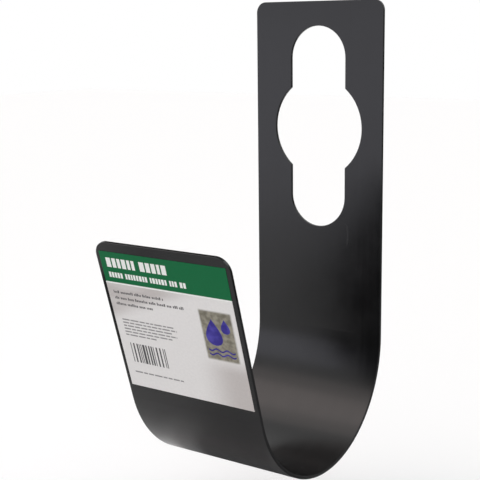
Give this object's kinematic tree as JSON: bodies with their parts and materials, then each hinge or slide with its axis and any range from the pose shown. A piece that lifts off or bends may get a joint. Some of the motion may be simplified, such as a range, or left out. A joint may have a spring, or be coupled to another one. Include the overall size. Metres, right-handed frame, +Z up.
{
  "type": "hose hanger",
  "caption": "Black painted steel strip folded into a J: a back plate with a keyhole-like tap hole, a round bend that carries a coiled hose, and a forward-leaning lip with a label.",
  "frame": {"origin": "axis of the tap neck, at the centre of the upper slot's half-round end, in the plane of the back plate's wall side", "axes": "+X across the strip, +Y towards the wall, +Z up as the hanger hangs"},
  "size_m": [0.07, 0.1228, 0.21],
  "materials": {
    "black_paint": "satin black powder coat",
    "label_paper": "semi-gloss printed paper"
  },
  "bodies": {
    "root": {"hanger_strip": "black_paint", "product_label": "label_paper"}
  },
  "joints": []
}
